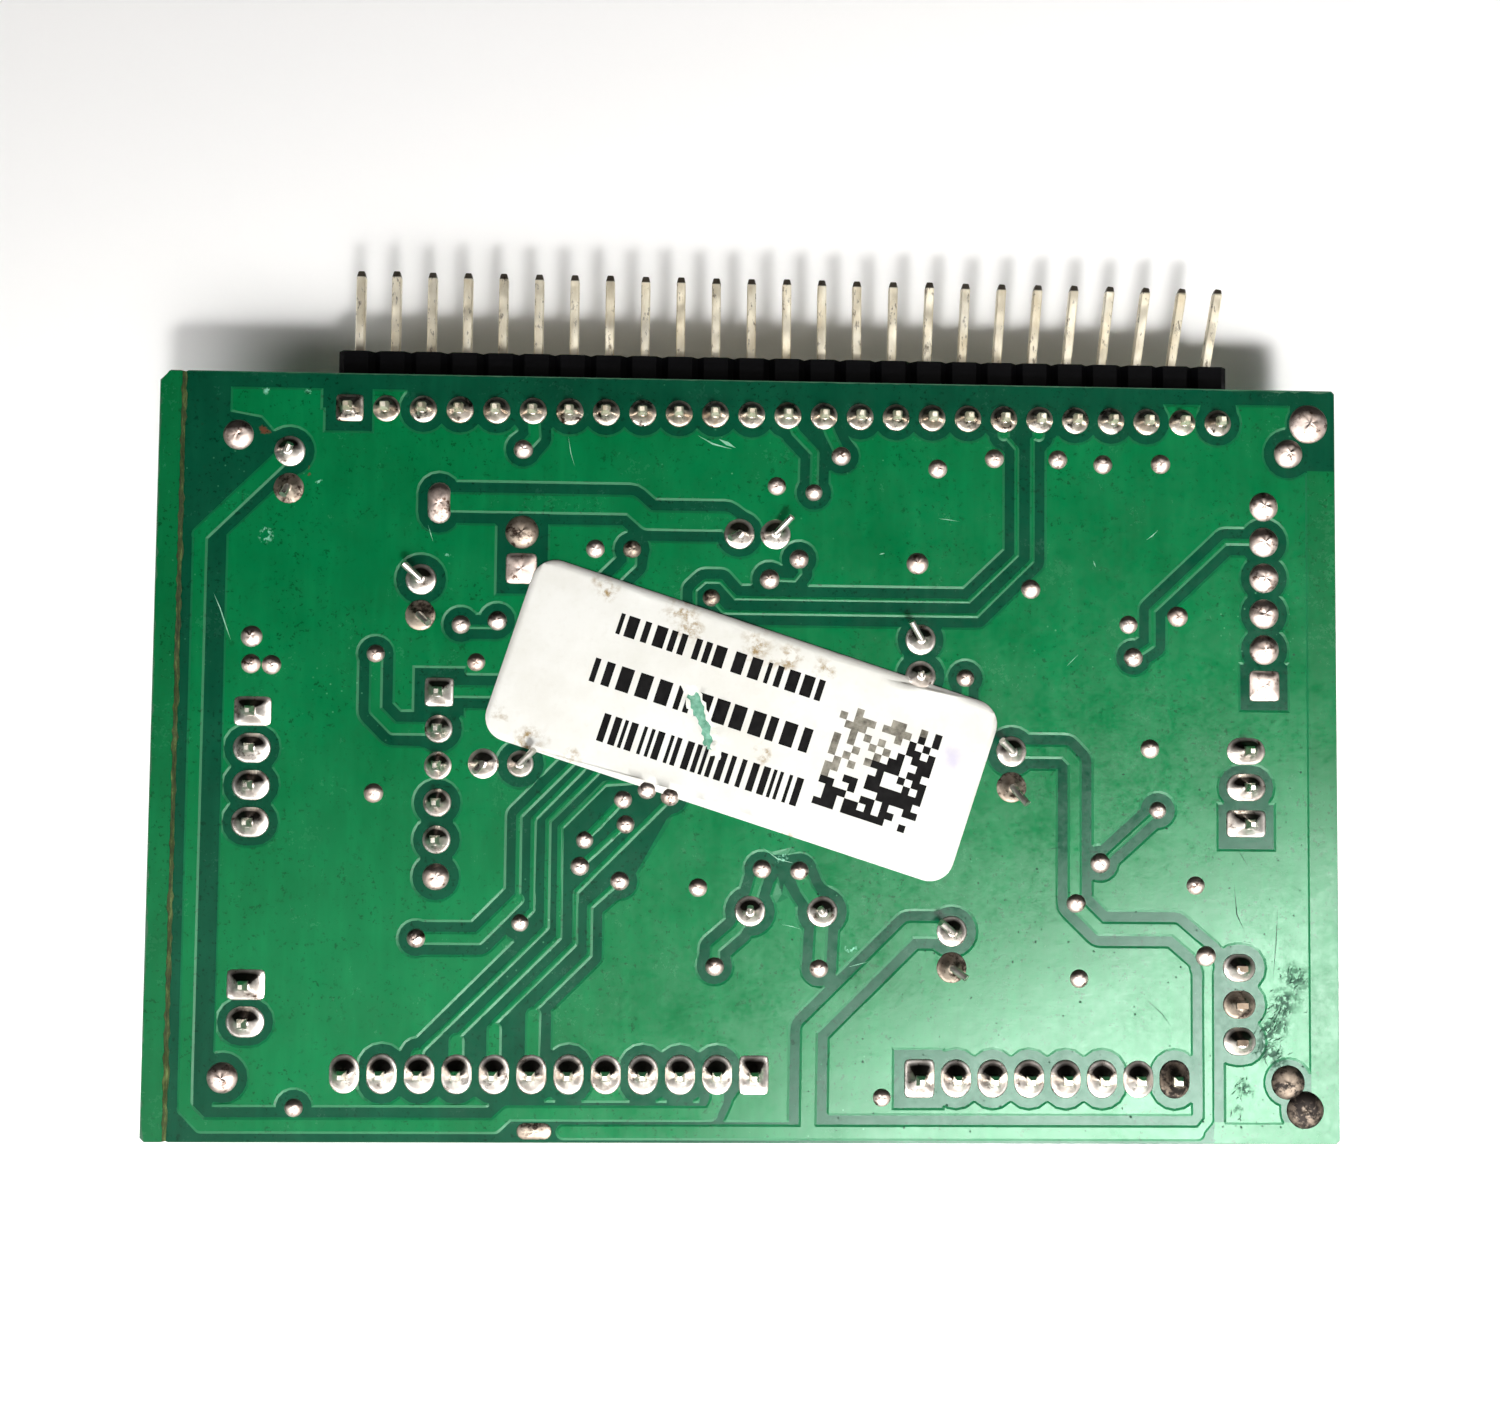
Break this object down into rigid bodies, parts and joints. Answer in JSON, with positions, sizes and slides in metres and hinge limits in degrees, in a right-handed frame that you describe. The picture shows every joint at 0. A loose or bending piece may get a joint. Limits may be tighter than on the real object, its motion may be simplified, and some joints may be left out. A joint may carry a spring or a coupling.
{
  "type": "servo driver board",
  "caption": "Bare robot servo driver circuit board lying solder side up, with a right-angle pin header, shrouded wafer connectors and a paper label.",
  "frame": {"origin": "middle of the whole object in plan, on the surface that it lies on, below the solder side", "axes": "+X along the pin header, +Y the way the header's pins point, +Z out of the solder side"},
  "size_m": [0.0824, 0.061, 0.0102],
  "materials": {
    "laminate": "green solder mask over copper on glass-epoxy laminate",
    "black_plastic": "moulded, matt",
    "white_plastic": "moulded nylon, satin",
    "pin_metal": "thin gold over nickel, handled",
    "tin": "tinned, satin",
    "solder": "solder, bright with dull spots",
    "can_metal": "drawn steel, nickel plated",
    "can_aluminium": "bright aluminium",
    "sleeve": "shrunk vinyl sleeve",
    "bung": "matt",
    "ceramic_dip": "dipped epoxy, satin",
    "chip_ceramic": "fired ceramic",
    "lamp": "milky lens",
    "label_paper": "matt coated paper, stained at the edges"
  },
  "bodies": {
    "root": {"board": "laminate", "header_strip": "black_plastic", "header_pins": "pin_metal", "wafer12_shell": "white_plastic", "wafer12_pins": "tin", "wafer8_shell": "white_plastic", "wafer8_pins": "tin", "wafer4_shell": "white_plastic", "wafer4_pins": "tin", "wafer3_shell": "white_plastic", "wafer3_pins": "tin", "wafer2_shell": "white_plastic", "wafer2_pins": "tin", "wafer5_shell": "white_plastic", "wafer5_pins": "tin", "crystal_can": "can_metal", "crystal_base": "can_metal", "crystal_leads": "tin", "capacitor_cans": "can_aluminium", "capacitor_sleeves": "sleeve", "capacitor_bungs": "bung", "capacitor_leads": "tin", "ceramic_bodies": "ceramic_dip", "ceramic_leads": "tin", "controller_body": "black_plastic", "controller_leads": "tin", "driver_bodies": "black_plastic", "driver_leads": "tin", "regulator_body": "black_plastic", "regulator_leads": "tin", "diode_bodies": "black_plastic", "diode_leads": "tin", "resistor_bodies": "black_plastic", "chip_capacitor_bodies": "chip_ceramic", "chip_ends": "tin", "lamp_body": "lamp", "switch_case": "can_metal", "switch_pins": "tin", "solder_header": "solder", "solder_wafers": "solder", "solder_leads": "solder", "solder_empty": "solder", "solder_vias": "solder", "label": "label_paper"},
    "knob": {"switch_slider": "black_plastic"}
  },
  "joints": [
    {"name": "switch_slide", "type": "slide", "parent": "root", "child": "knob", "axis": [0, 1, 0], "range_m": [0, 0.002]}
  ]
}
